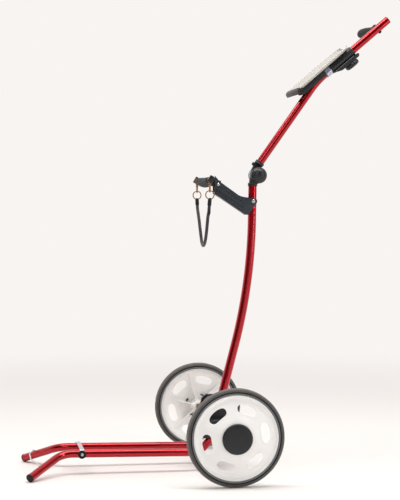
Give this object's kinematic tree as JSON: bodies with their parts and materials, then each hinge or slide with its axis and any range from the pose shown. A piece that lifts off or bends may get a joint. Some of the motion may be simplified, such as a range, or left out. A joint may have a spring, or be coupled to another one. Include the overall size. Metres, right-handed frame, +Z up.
{
  "type": "golf bag pull trolley",
  "caption": "Two-wheel pull trolley for a golf bag: splayed tube base, leaning mast, folding cranked handle with one-sided grip, card board, and bag holder with elastic strap.",
  "frame": {"origin": "on the floor, under the middle of the bounding box", "axes": "+Z up, +X from the feet towards the handle, +Y along the axle to the trolley's left wheel, which is the side the grip sticks out to"},
  "size_m": [1.0366, 0.6566, 1.2739],
  "materials": {
    "red_steel": "glossy red lacquer",
    "red_aluminium": "glossy red anodised",
    "steel": "zinc plated",
    "chrome_wire": "bright",
    "brass": "satin",
    "tyre": "matte grey",
    "wheel": "white, moulded",
    "black_plastic": "black, moulded",
    "smoke_plastic": "smoke grey",
    "clear_plastic": "frosted, see-through",
    "black_rubber": "matte",
    "cord": "braided cover over elastic"
  },
  "bodies": {
    "base": {"axle": "steel", "axle_bracket": "black_plastic", "axle_push_nut_left": "steel", "axle_push_nut_right": "steel", "bracket_screw_left": "steel", "bracket_screw_right": "steel", "base_tube_left": "red_steel", "base_tube_right": "red_steel", "foot_cap_left": "black_rubber", "foot_cap_right": "black_rubber", "crossbar": "steel", "crossbar_washer_left": "black_rubber", "crossbar_washer_right": "black_rubber", "crossbar_bolt_left": "steel", "crossbar_bolt_right": "steel", "bag_stop_wire": "chrome_wire"},
    "wheel_assembly_left": {"tyre_left": "tyre", "wheel_left": "wheel", "hub_cap_left": "black_plastic", "axle_bush_left": "brass"},
    "wheel_assembly_right": {"tyre_right": "tyre", "wheel_right": "wheel", "hub_cap_right": "black_plastic", "axle_bush_right": "brass"},
    "mast": {"mast_tube": "red_aluminium", "mast_foot": "black_plastic", "hinge_lower_leaf": "black_plastic", "hinge_plate": "steel", "hinge_bolt": "steel", "holder_pin": "steel"},
    "hinge_knob": {"hinge_knob": "black_plastic"},
    "handle": {"hinge_upper_leaf": "black_plastic", "handle_tube": "red_aluminium", "handle_plug": "black_plastic", "grip": "black_rubber", "grip_rod": "steel", "grip_screw": "steel", "console_sleeve": "black_plastic", "console_band": "steel", "card_arm": "black_plastic", "card_board": "clear_plastic", "card_clip_pin": "steel", "console_mount": "black_plastic", "console_screw": "steel"},
    "console_knob": {"console_knob": "black_plastic"},
    "card_clip": {"card_clip": "smoke_plastic"},
    "bag_holder": {"holder_arm": "black_plastic", "cradle": "black_rubber", "cradle_rivet": "steel", "cradle_end_left": "black_plastic", "cradle_end_right": "black_plastic"},
    "strap": {"snap_hook_left": "brass", "snap_hook_right": "brass", "split_ring_left": "brass", "split_ring_right": "brass", "strap_end_left": "black_rubber", "strap_end_right": "black_rubber", "strap_cord": "cord"}
  },
  "joints": [
    {"name": "wheel_left_spin", "type": "hinge", "parent": "base", "child": "wheel_assembly_left", "pos_m": [0.01796, 0.2945, 0.13], "axis": [0, 1, 0], "continuous": true},
    {"name": "wheel_right_spin", "type": "hinge", "parent": "base", "child": "wheel_assembly_right", "pos_m": [0.01796, -0.2945, 0.13], "axis": [0, 1, 0], "continuous": true},
    {"name": "mast_fold", "type": "hinge", "parent": "base", "child": "mast", "pos_m": [0.01796, 0, 0.13], "axis": [0, 1, 0], "range_deg": [-85, 0]},
    {"name": "handle_fold", "type": "hinge", "parent": "mast", "child": "handle", "pos_m": [0.1335, 0, 0.82], "axis": [0, 1, 0], "range_deg": [0, 130]},
    {"name": "hinge_knob_turn", "type": "hinge", "parent": "mast", "child": "hinge_knob", "pos_m": [0.1335, 0, 0.82], "axis": [0, -1, 0], "continuous": true},
    {"name": "console_knob_turn", "type": "hinge", "parent": "handle", "child": "console_knob", "pos_m": [0.3878, 0, 1.1592], "axis": [0.6534, 0, -0.757], "continuous": true},
    {"name": "card_clip_lift", "type": "hinge", "parent": "handle", "child": "card_clip", "pos_m": [0.23708, 0, 1.05527], "axis": [0, 1, 0], "range_deg": [-40, 0], "stiffness_Nm_per_rad": 0.03, "springref_deg": 28.65},
    {"name": "holder_lift", "type": "hinge", "parent": "mast", "child": "bag_holder", "pos_m": [0.12039, 0, 0.748], "axis": [0, 1, 0], "range_deg": [0, 25]},
    {"name": "strap_swing", "type": "hinge", "parent": "bag_holder", "child": "strap", "pos_m": [-0.01961, 0, 0.805], "axis": [0, 1, 0], "range_deg": [-35, 60]}
  ]
}
